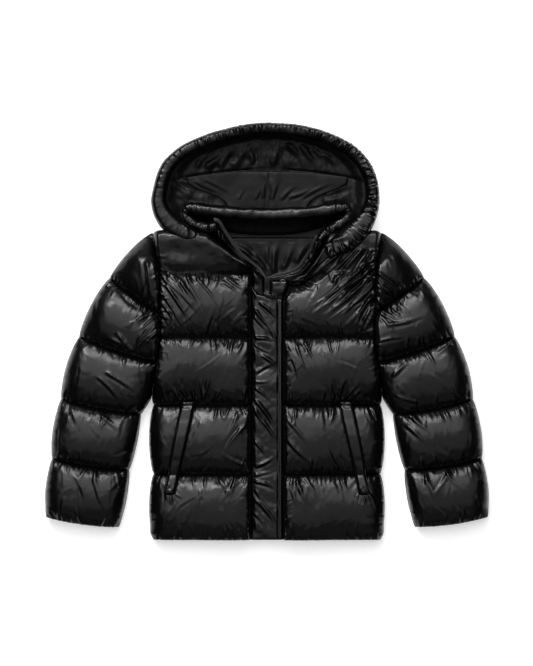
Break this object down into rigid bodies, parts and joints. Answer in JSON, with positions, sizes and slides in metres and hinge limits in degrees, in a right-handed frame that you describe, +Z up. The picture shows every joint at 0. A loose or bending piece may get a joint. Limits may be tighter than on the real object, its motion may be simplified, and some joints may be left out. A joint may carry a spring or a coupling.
{
  "type": "hooded puffer jacket",
  "caption": "Padded hooded jacket laid flat: quilted body and sleeves, storm flap over an open-necked zip, stand collar, two welt pockets.",
  "frame": {"origin": "on the floor under the middle of the back panel, 283.5 mm up from the hem", "axes": "+X towards the wearer's left sleeve (the right of the picture), +Y from the hem to the hood, +Z up off the floor"},
  "size_m": [0.9338, 0.8731, 0.0879],
  "materials": {
    "glossy_nylon": "glossy black nylon over down",
    "lining": "black woven lining with a soft sheen",
    "zip_tape_and_teeth": "matte black",
    "dark_metal": "dark gunmetal"
  },
  "bodies": {
    "jacket": {"back": "glossy_nylon", "front_left": "glossy_nylon", "front_right": "glossy_nylon", "sleeve_top_left": "glossy_nylon", "sleeve_top_right": "glossy_nylon", "sleeve_under_left": "glossy_nylon", "sleeve_under_right": "glossy_nylon", "pocket_welt_left": "glossy_nylon", "pocket_welt_right": "glossy_nylon", "storm_flap": "glossy_nylon", "front_band_left": "glossy_nylon", "front_band_right": "glossy_nylon", "zip_chain": "zip_tape_and_teeth", "zip_teeth_left": "zip_tape_and_teeth", "zip_teeth_right": "zip_tape_and_teeth", "zip_slider": "dark_metal", "snap_socket": "dark_metal", "neck_lining": "lining", "collar": "glossy_nylon", "hood_rim": "glossy_nylon", "hood_centre": "glossy_nylon", "hood_side_left": "glossy_nylon", "hood_side_right": "glossy_nylon", "hood_lining": "lining", "hood_facing": "lining"},
    "pull": {"zip_pull": "dark_metal"}
  },
  "joints": [
    {"name": "pull_hinge", "type": "hinge", "parent": "jacket", "child": "pull", "pos_m": [0, 0.2595, 0.0339], "axis": [-1, 0, 0], "range_deg": [0, 165]}
  ]
}
